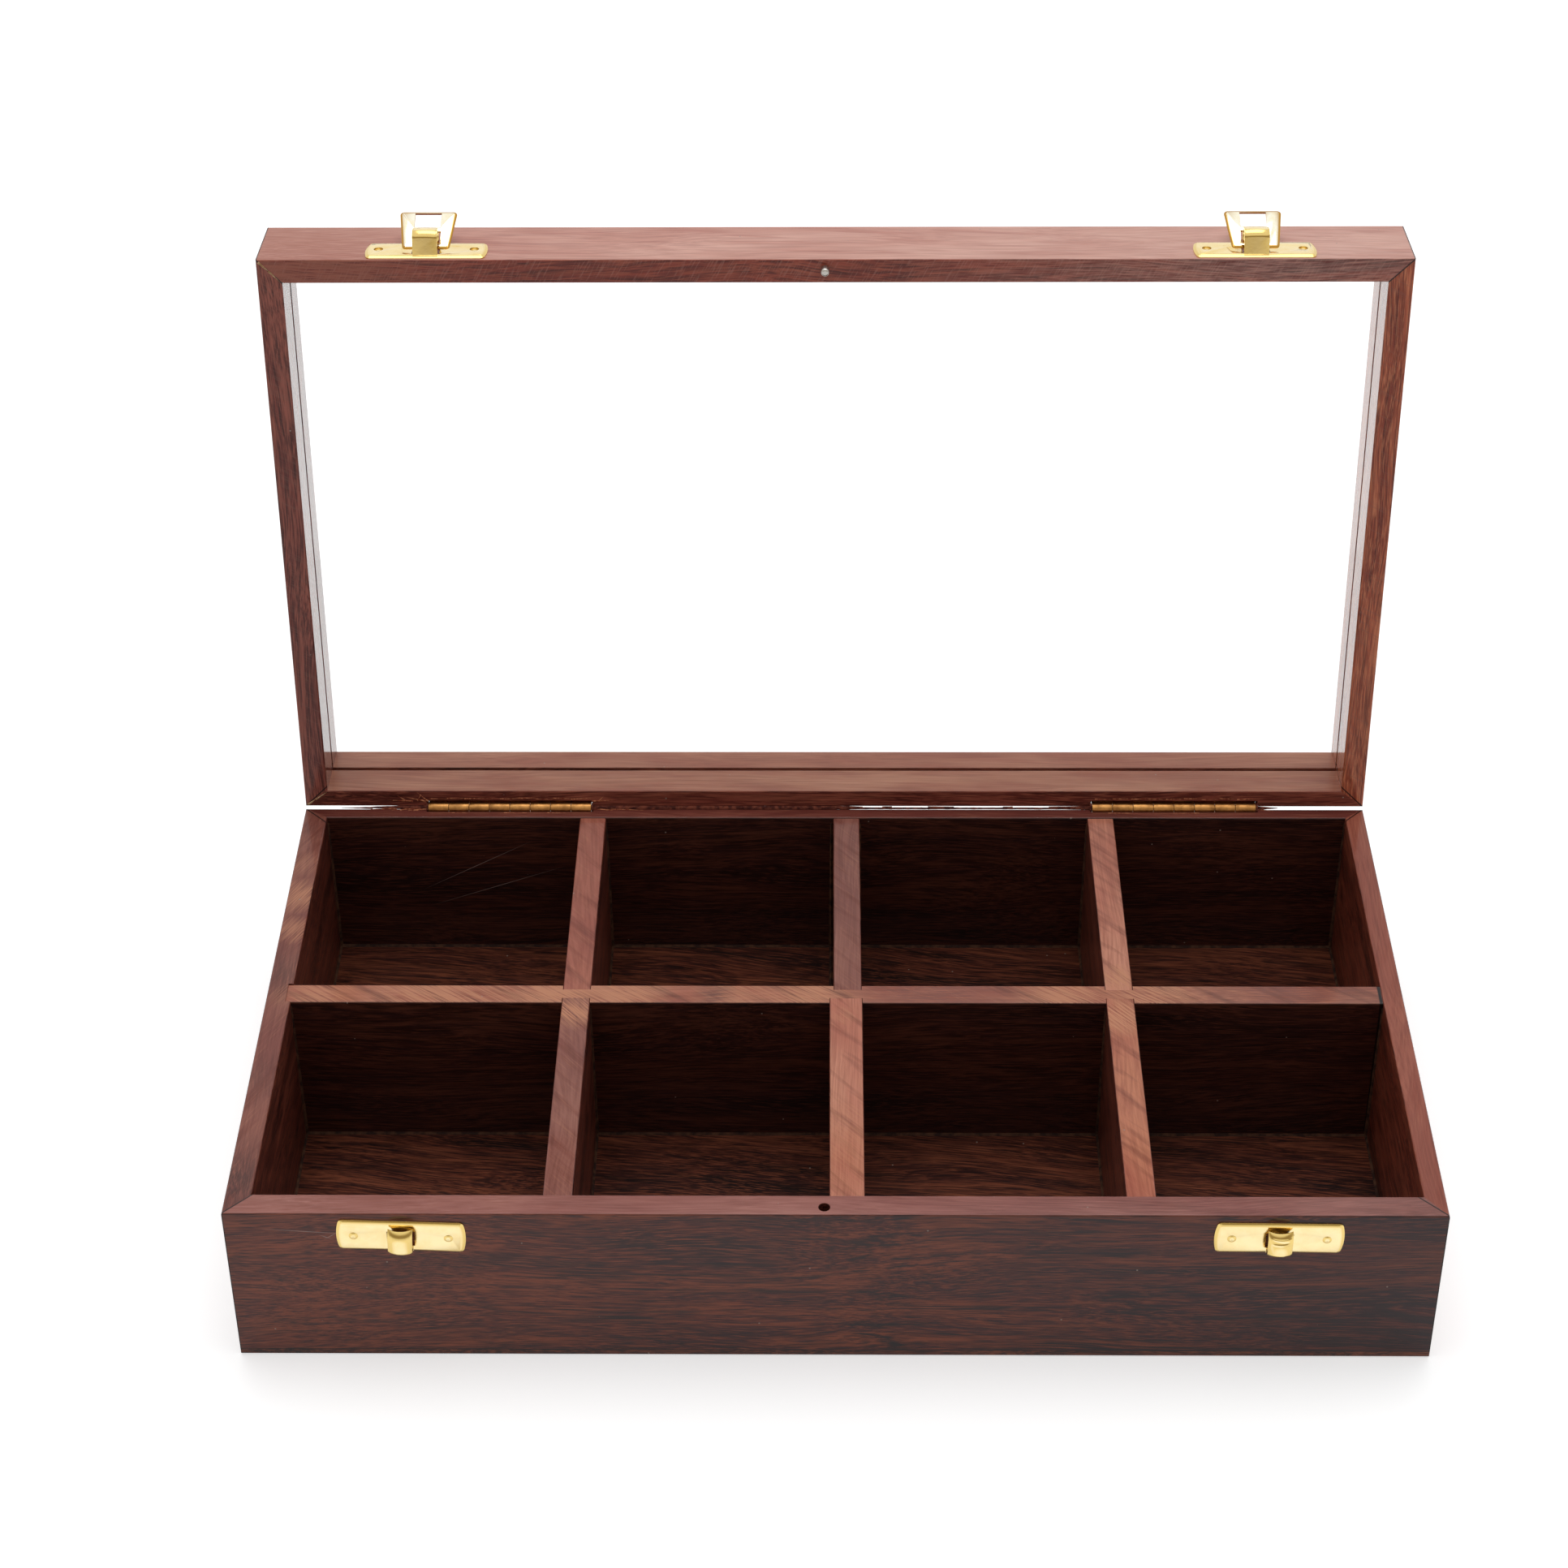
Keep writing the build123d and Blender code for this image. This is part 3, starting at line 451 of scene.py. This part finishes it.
HASP_FLAT = (0, -0.32, 0.948)
latch_brass = brass("polished_brass", "#f9e6b2", "#f4da9c", 0.12, 0.2, 6.0, 0.15, [DEPTH, LID_LENGTH], "#e6c87c")
# The hasps' near-white base colour is a painted white highlight; their dark gold off the flat is a painted reflection.
hasp_brass_painted_highlight = brass("brass_painted_white_highlight", "#fffae6", "#fdf0cc", 0.08, 0.16, 3.0, 0.1, [HASP_FLAT], "#b88a3c")
hinge_brass = brass("aged_brass", "#c48e52", "#8a5e34", 0.26, 0.42, 2.6, 0.3)
for name, node in nodes.items():
    if name in boards or name == "glass_pane":
        continue
    aged = "hinge" in name
    node.data.materials.clear()
    node.data.materials.append(hinge_brass if aged else hasp_brass_painted_highlight if "hasp" in name else latch_brass)
pin_steel, tree, shader = material("drawn_steel_pin")
shader.inputs["Base Color"].default_value = colour("#b8b4ae")
shader.inputs["Metallic"].default_value = 1.0
shader.inputs["Roughness"].default_value = 0.35
nodes["locating_pin"].data.materials.clear()
nodes["locating_pin"].data.materials.append(pin_steel)
print("brass on", len(nodes) - len(boards) - 2, "pieces, steel on the pin")

# %% [markdown]
# The solids of the metalwork come as loose flat triangles. Joined, with the flat
# parts merged, the sharp edges eased by a few hundredths of a millimetre and the
# rolled parts shaded smooth, they catch the light as stamped sheet does. Each is
# a copy that stands for its solid and keeps its place.

# %% Smooth metalwork
EASE = 0.06 * MM


def work_on(piece, mode="EDIT"):
    """Select one piece alone, with all of its mesh, ready to be worked."""
    if bpy.context.object and bpy.context.object.mode != "OBJECT":
        bpy.ops.object.mode_set(mode="OBJECT")
    bpy.ops.object.select_all(action="DESELECT")
    piece.select_set(True)
    bpy.context.view_layer.objects.active = piece
    if mode == "EDIT":
        bpy.ops.object.mode_set(mode="EDIT")
        bpy.ops.mesh.select_mode(type="EDGE")
        bpy.ops.mesh.select_all(action="SELECT")


def smooth_copy(name, body, ease, tongue=None):
    """A joined, eased and smoothly shaded copy of a CAD node, standing for it."""
    piece = bpy.data.objects.new(name + "_finished", nodes[name].data.copy())
    bpy.context.scene.collection.objects.link(piece)
    work_on(piece)
    bpy.ops.mesh.remove_doubles(threshold=0.002 * MM)
    bpy.ops.mesh.dissolve_limited(angle_limit=math.radians(0.6))
    if tongue:
        dome(piece, *tongue)
    if ease:
        bpy.ops.mesh.select_all(action="DESELECT")
        bpy.ops.mesh.edges_select_sharp(sharpness=math.radians(40))
        bpy.ops.mesh.bevel(offset=ease, segments=2, affect="EDGES", clamp_overlap=True)
    work_on(piece, "OBJECT")
    bpy.ops.object.shade_smooth_by_angle(angle=math.radians(32))
    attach(piece, body)
    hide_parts(name)
    return piece


def choose(piece, test):
    """Select, in edit mode, the vertices that pass a test of their place."""
    bpy.ops.mesh.select_all(action="DESELECT")
    bpy.ops.object.mode_set(mode="OBJECT")
    for vertex in piece.data.vertices:
        vertex.select = test(vertex.co)
    bpy.ops.object.mode_set(mode="EDIT")
    bpy.ops.mesh.select_mode(type="VERT")


def dome(piece, outward, level, left, right, push):
    """Crown the part of a piece that stands past a level along a direction, across its width."""
    middle, half = (left + right) / 2, (right - left) / 2
    cuts = 7
    for cut in range(1, cuts + 1):
        x = left + (right - left) * cut / (cuts + 1)
        choose(piece, lambda co: outward.dot(co) > level and left - 0.1 * MM < co.x < right + 0.1 * MM)
        bpy.ops.mesh.bisect(plane_co=(x, 0, 0), plane_no=(1, 0, 0))
    for cut in range(1, cuts + 1):
        x = left + (right - left) * cut / (cuts + 1)
        rise = 1 - ((x - middle) / half) ** 2
        choose(piece, lambda co: outward.dot(co) > level and abs(co.x - x) < 0.01 * MM)
        bpy.ops.transform.translate(value=push * rise)


metalwork = {
    "left_catch_plate": "box",
    "right_catch_plate": "box",
    "left_eye_plate": "lid",
    "right_eye_plate": "lid",
    "left_hasp": "left_hasp",
    "right_hasp": "right_hasp",
    "left_hinge_lower_leaf": "box",
    "right_hinge_lower_leaf": "box",
    "left_hinge_upper_leaf": "lid",
    "right_hinge_upper_leaf": "lid",
    "catch_rivets": "box",
    "eye_plate_nails": "lid",
}
catch_crown = -1.0 * MM * DEPTH
eye_crown = 0.32 * MM * (LID_LENGTH - LID_FACE)
tongues = {
    "left_catch_plate": (-DEPTH, 90.6 * MM, -118.3 * MM, -111.4 * MM, catch_crown),
    "right_catch_plate": (-DEPTH, 90.6 * MM, 114.35 * MM, 121.05 * MM, catch_crown),
    "left_eye_plate": (LID_LENGTH, 241.1 * MM, -118.1 * MM, -111.1 * MM, eye_crown),
    "right_eye_plate": (LID_LENGTH, 241.1 * MM, 114.3 * MM, 121.3 * MM, eye_crown),
}
finished = {name: smooth_copy(name, body, EASE * (2.5 if "hinge" in name else 1), tongues.get(name)) for name, body in metalwork.items()}
print({name: len(piece.data.polygons) for name, piece in finished.items()})

# %% [markdown]
# ## What the tools left
# The saw and the chisel left torn fibres along the hinge line, a sliver of pale
# filler in two mitres of the lid, and glue with sanding dust in the corners of the
# compartments. A splinter starts as a thin cone and a bead as a thin prism. Each
# is divided, roughened and laid between two points, and all of one kind are joined.

# %% Splinters, filler and glue
def rod(start, end, root, tip, sides, rough, seed):
    """A rough tapering rod between two points, in millimetres."""
    start, end = MM * Vector(start), MM * Vector(end)
    length = (end - start).length
    bpy.ops.object.select_all(action="DESELECT")
    bpy.ops.mesh.primitive_cone_add(vertices=sides, radius1=root * MM, radius2=tip * MM, depth=length)
    made = bpy.context.object
    work_on(made)
    steps = max(2, min(40, int(length / MM)))
    for step in range(1, steps):
        bpy.ops.mesh.select_all(action="SELECT")
        bpy.ops.mesh.bisect(plane_co=(0, 0, length * (step / steps - 0.5)), plane_no=(0, 0, 1))
    bpy.ops.mesh.select_all(action="SELECT")
    bpy.ops.transform.vertex_random(offset=rough * MM, seed=seed)
    work_on(made, "OBJECT")
    made.rotation_euler = (end - start).to_track_quat("Z", "Y").to_euler()
    made.location = (start + end) / 2
    bpy.ops.object.transform_apply(location=True, rotation=True, scale=True)
    return made


def joined(name, parts, finish, body):
    """Join some rods to one piece that rides on a body."""
    bpy.ops.object.select_all(action="DESELECT")
    for part in parts:
        part.select_set(True)
    bpy.context.view_layer.objects.active = parts[0]
    bpy.ops.object.join()
    piece = bpy.context.object
    piece.name = name
    piece.data.materials.clear()
    piece.data.materials.append(finish)
    bpy.context.scene.cursor.location = (0, 0, 0)
    bpy.ops.object.origin_set(type="ORIGIN_CURSOR")
    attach(piece, body)
    return piece


def rough_matter(name, first, second, size):
    """Dull broken wood, filler or glue, in two colours that change within a size in millimetres."""
    made, tree, shader = material(name)
    place = add(tree, "TexCoord")
    cloud = add(tree, "TexNoise", {"Vector": place.outputs["Object"], "Scale": 1000 / size, "Detail": 3.0})
    tint = add(tree, "ValToRGB", {0: cloud.outputs[0]}, stops=[(0.4, first), (0.62, second)])
    tree.links.new(tint.outputs[0], shader.inputs["Base Color"])
    shader.inputs["Roughness"].default_value = 0.8
    shader.inputs["Specular IOR Level"].default_value = 0.2
    return made


torn_wood = rough_matter("torn_rosewood", "#8a3c26", "#e0946a", 0.8)
seam_wood = rough_matter("crushed_rosewood_fibre", "#4a201a", "#8a4a38", 1.5)
filler = rough_matter("pale_wood_filler", "#a88058", "#d8b890", 1.0)
glue = rough_matter("hide_glue_with_sanding_dust", "#33201a", "#5e3e2c", 3.0)
print("rough finishes ready")

# %% [markdown]
# Box and lid meet along the hinge line with a slit of under a millimetre. Along
# part of it, crushed fibres close the slit. They lie on the axis of the hinges, so
# nothing strikes them when the lid turns. Beside the left hinge the chisel slipped
# and tore some longer splinters up.

# %% Fibres along the hinge line
AXIS = (89.9, 52.65)
BESIDE = (89.75, 52.58)
seam_runs = [
    (-142, -132, 0.25, 0.62),
    (-132, -124.8, 0.62, 0.7),
    (-124.85, -124.25, 1.5, 1.4),
    (-74.15, -73.55, 1.4, 1.5),
    (-73.6, -40, 0.7, 0.62),
    (-40, 5, 0.62, 0.6),

    (78.55, 79.15, 1.5, 1.4),
    (129.25, 129.85, 1.4, 1.5),
    (129.8, 136, 0.6, 0.1),
    (4, 9, 0.6, 0.4),
    (15, 18, 0.42, 0.5),
    (29, 37, 0.5, 0.4),
    (52, 55, 0.4, 0.45),
    (66, 78.6, 0.42, 0.62),
]
low_runs = [(-151, -141.5, 0.06, 0.33), (5, 45, 0.33, 0.3), (45, 78.6, 0.3, 0.32)]
rods = [rod((a, *AXIS), (b, *AXIS), r0, r1, 9, 0.06, 10 + n) for n, (a, b, r0, r1) in enumerate(seam_runs)]
rods += [rod((a, *BESIDE), (b, *BESIDE), r0, r1, 9, 0.06, 25 + n) for n, (a, b, r0, r1) in enumerate(low_runs)]
joined("hinge_line_fibres", rods, seam_wood, "box")
lid_low, lid_high = reach(["lid_left_rail"], LID_LENGTH)
low, high = lid_low / MM, lid_high / MM
mating = reach(["lid_left_rail"], LID_FACE)[0]


def on_lid(x, along, depth):
    """A point by the lid's mating face, in millimetres, from its x, its run along the lid and its depth."""
    return tuple(Vector((x, 0, 0)) + LID_LENGTH * along + LID_FACE * (mating / MM + depth))


splinters = [
    ((-124.6, 89.4, 52.5), (-128.8, 88.5, 52.5), 0.27),
    ((-125.2, 89.4, 52.5), (-130.5, 88.6, 52.5), 0.27),
    ((-126.8, 89.4, 52.5), (-127.8, 88.5, 52.5), 0.22),
    ((-128.5, 89.4, 52.5), (-135.5, 88.7, 52.5), 0.27),
    ((-131.0, 89.4, 52.5), (-133.0, 88.5, 52.5), 0.22),
    ((-134.0, 89.4, 52.5), (-142.0, 89.2, 52.5), 0.22),
    ((-73.9, 89.4, 52.5), (-66.0, 88.9, 52.5), 0.27),
    ((-72.0, 89.3, 52.5), (-67.5, 88.5, 52.5), 0.22),
    ((-68.0, 89.3, 52.5), (-58.0, 88.8, 52.5), 0.2),
    ((130.0, 89.4, 52.5), (134.5, 88.6, 52.5), 0.24),
    ((-118.0, 87.5, 52.5), (-112.5, 87.5, 52.5), 0.16),
    ((-101.0, 87.5, 52.5), (-94.0, 87.5, 52.5), 0.16),
    ((-88.0, 87.5, 52.5), (-82.0, 87.5, 52.5), 0.16),
    ((84.0, 87.5, 52.5), (91.0, 87.5, 52.5), 0.16),
    ((112.0, 87.5, 52.5), (104.0, 87.5, 52.5), 0.16),
]
rods = [rod(a, b, r, 0.06, 5, 0.05, 30 + n) for n, (a, b, r) in enumerate(splinters)]
joined("torn_splinters_box", rods, torn_wood, "box")

lid_splinters = [
    (on_lid(-124.4, low + 1.8, 0.05), on_lid(-127.6, low + 5.0, 0.05), 0.3),
    (on_lid(-125.0, low + 1.8, 0.05), on_lid(-131.0, low + 3.2, 0.05), 0.3),
    (on_lid(-127.5, low + 1.9, 0.05), on_lid(-126.2, low + 4.6, 0.05), 0.26),
    (on_lid(-129.0, low + 1.8, 0.05), on_lid(-137.0, low + 2.2, 0.05), 0.28),
    (on_lid(-131.0, low + 1.8, 0.05), on_lid(-133.6, low + 3.8, 0.05), 0.26),
    (on_lid(-74.0, low + 1.8, 0.05), on_lid(-67.0, low + 2.2, 0.05), 0.28),
    (on_lid(-72.0, low + 1.8, 0.05), on_lid(-70.5, low + 3.4, 0.05), 0.24),
]
for first, last in ((-124, -75), (80, 129)):
    for step in range(9):
        x = first + (last - first) * step / 9
        start = on_lid(x, low + 2.7 + 0.2 * math.sin(3.0 * step), 0.05)
        end = on_lid(x + 6.2, low + 2.75 - 0.2 * math.cos(2.0 * step), 0.05)
        lid_splinters.append((start, end, 0.16 + 0.04 * (step % 3)))
rods = [rod(a, b, r, 0.06, 5, 0.05, 90 + n) for n, (a, b, r) in enumerate(lid_splinters)]
joined("torn_splinters_lid", rods, torn_wood, "lid")
print("splinters", len(splinters), "and", len(lid_splinters))

# %% [markdown]
# The lid's mitres at the left were filled. Filler lies along the joint's line on
# the lid's mating face.

# %% Filler and glue beads
filler_lines = [
    ((-161.3, high - 0.7), (-158.2, high - 3.8), 0.42),
    ((-158.6, high - 3.4), (-155.6, high - 6.6), 0.34),
    ((-161.4, low + 0.5), (-158.6, low + 2.6), 0.42),
    ((-158.8, low + 2.4), (-155.2, low + 5.0), 0.34),
]
rods = [rod(on_lid(*a, 0.14), on_lid(*b, 0.14), r, 0.15, 5, 0.05, 60 + n) for n, (a, b, r) in enumerate(filler_lines)]
joined("mitre_filler", rods, filler, "lid")

columns = [(-154.9, -77.5), (-69.5, -0.6), (8.1, 77.5), (85.5, 156.1)]
rows = [(-82.0, -2.4), (5.4, 85.0)]
rods = []
for x0, x1 in columns:
    for y0, y1 in rows:
        for x, y in ((x0, y0), (x0, y1), (x1, y0), (x1, y1)):
            rods.append(rod((x, y, 2.0), (x, y, 50.5), 0.8, 0.35, 4, 0.06, len(rods)))
        for a, b in (((x0, y1), (x1, y1)), ((x0, y0), (x0, y1)), ((x1, y0), (x1, y1))):
            rods.append(rod((*a, 2.0), (*b, 2.0), 0.7, 0.6, 4, 0.05, len(rods)))
joined("glue_beads", rods, glue, "box")
print("glue beads", len(rods))

# %% [markdown]
# ## Glass
# The pane is 2 mm of clear float glass. Its edges are hidden in the grooves. Glass
# in Cycles throws a full shadow, as it bends lamp light that is then lost, so
# lamps and soft light pass straight through a see-through shader.

# %% Glass material
pane_glass, tree, shader = material("clear_float_glass")
shader.inputs["Base Color"].default_value = colour("#ffffff")
shader.inputs["Transmission Weight"].default_value = 1.0
shader.inputs["Roughness"].default_value = 0.0
shader.inputs["IOR"].default_value = 1.5
ray = add(tree, "LightPath")
lamp_light = add(tree, "Math", {0: ray.outputs["Is Shadow Ray"], 1: ray.outputs["Is Diffuse Ray"]}, operation="MAXIMUM")
clear = add(tree, "BsdfTransparent", {"Color": colour("#f8fcfa")})
either = add(tree, "MixShader", {0: lamp_light.outputs[0], 1: shader.outputs[0], 2: clear.outputs[0]})
tree.links.new(either.outputs[0], tree.nodes["Material Output"].inputs["Surface"])
nodes["glass_pane"].data.materials.clear()
nodes["glass_pane"].data.materials.append(pane_glass)
print("glass IOR", shader.inputs["IOR"].default_value)

# %% [markdown]
# ## The studio
# A white floor fills the whole view. Its diffuse part takes the box's shadow, and
# a little light of its own, seen only by camera, mirror and glass rays, lifts the
# open floor to white.

# %% Floor
bpy.ops.object.select_all(action="DESELECT")
bpy.ops.mesh.primitive_plane_add(size=8.0, location=(0, 0, 0))
floor = bpy.context.object
floor.name = "studio_floor"
floor_white, tree, shader = material("white_paper_floor")
shader.inputs["Base Color"].default_value = colour("#f4f4f4")
shader.inputs["Roughness"].default_value = 1.0
shader.inputs["Specular IOR Level"].default_value = 0.0
shader.inputs["Emission Color"].default_value = colour("#ffffff")
path = add(tree, "LightPath")
seen = add(tree, "Math", {0: path.outputs["Is Camera Ray"], 1: path.outputs["Is Glossy Ray"]}, operation="MAXIMUM")
lift = add(tree, "Math", {0: seen.outputs[0], 1: 0.5}, operation="MULTIPLY")
more = add(tree, "Math", {0: path.outputs["Is Transmission Ray"], 1: 0.5}, operation="MULTIPLY")
most = add(tree, "Math", {0: lift.outputs[0], 1: more.outputs[0]}, operation="MAXIMUM")
tree.links.new(most.outputs[0], shader.inputs["Emission Strength"])
floor.data.materials.append(floor_white)
print("floor", floor.name)

# %% [markdown]
# The world gives soft light from everywhere, brighter from behind the box than
# from the camera's side. What the camera and reflections see of it is white at the
# back, overhead and near the horizon, with one darker and warmer band at the front
# between them. One large lamp overhead gives the rims their light and the
# compartments their shade.

# %% Lights
world = bpy.data.worlds.new("soft_studio")
bpy.context.scene.world = world
world.use_nodes = True
tree = world.node_tree
direction = add(tree, "TexCoord")
split = add(tree, "SeparateXYZ", {0: direction.outputs["Generated"]})
level = add(tree, "MapRange", {"Value": split.outputs[1], "From Min": -1.0, "From Max": 1.0, "To Min": 0.25, "To Max": 0.75})
behind = add(tree, "MapRange", {"Value": split.outputs[1], "From Min": -0.7, "From Max": 0.2, "To Min": 0.38, "To Max": 1.0})
above = add(tree, "MapRange", {"Value": split.outputs[2], "From Min": 0.35, "From Max": 0.6})
below = add(tree, "MapRange", {"Value": split.outputs[2], "From Min": 0.3, "From Max": 0.1})
away = add(tree, "Math", {0: behind.outputs[0], 1: below.outputs[0]}, operation="MAXIMUM")
shine = add(tree, "Math", {0: away.outputs[0], 1: above.outputs[0]}, operation="MAXIMUM")
ray = add(tree, "LightPath")
mirrored = add(tree, "Math", {0: ray.outputs["Is Glossy Ray"], 1: ray.outputs["Is Camera Ray"]}, operation="MAXIMUM")
strength = add(tree, "Mix", {0: mirrored.outputs[0], 2: level.outputs[0], 3: shine.outputs[0]})
tree.links.new(strength.outputs[0], tree.nodes["Background"].inputs["Strength"])
warm = add(tree, "MapRange", {"Value": shine.outputs[0], "From Min": 1.0, "From Max": 0.3})
warmth = add(tree, "Math", {0: warm.outputs[0], 1: mirrored.outputs[0]}, operation="MULTIPLY")
tint = add(tree, "Mix", {0: warmth.outputs[0], 6: colour("#ffffff"), 7: colour("#f4dca8")}, data_type="RGBA")
tree.links.new(tint.outputs[2], tree.nodes["Background"].inputs["Color"])


def softbox(name, place, target, size, power):
    """A square area lamp that faces a point."""
    lamp = bpy.data.lights.new(name, "AREA")
    lamp.size = size
    lamp.energy = power
    made = bpy.data.objects.new(name, lamp)
    bpy.context.scene.collection.objects.link(made)
    made.location = place
    made.rotation_euler = (Vector(target) - Vector(place)).to_track_quat("-Z", "Y").to_euler()
    return made


softbox("overhead", (0.0, 0.3, 1.6), (0, 0, 0), 1.2, 9.0)

# %% [markdown]
# ## The camera
# The camera's place, turn and lens were worked out from the straight edges of the
# box in the photograph.

# %% Camera
yaw, pitch, roll = -0.0155992, 0.6330482, -0.0084975
forward = Vector((math.sin(yaw) * math.cos(pitch), math.cos(yaw) * math.cos(pitch), -math.sin(pitch)))
level_right = Vector((math.cos(yaw), -math.sin(yaw), 0))
level_up = level_right.cross(forward)
right = math.cos(roll) * level_right + math.sin(roll) * level_up
up = math.cos(roll) * level_up - math.sin(roll) * level_right
lens = bpy.data.cameras.new("camera")
lens.sensor_width = 36.0
lens.lens = 4128.68 / 1932 * 36.0
camera = bpy.data.objects.new("camera", lens)
bpy.context.scene.collection.objects.link(camera)
turn = Matrix((right, up, -forward)).transposed().to_4x4()
camera.matrix_world = Matrix.Translation((-0.00218899, -0.73438967, 0.66663208)) @ turn
bpy.context.scene.camera = camera
print("lens", round(lens.lens, 2), "mm")

# %% [markdown]
# The view transform is Standard, so a colour shows as it is written.

# %% Finish
bpy.context.scene.view_settings.view_transform = "Standard"
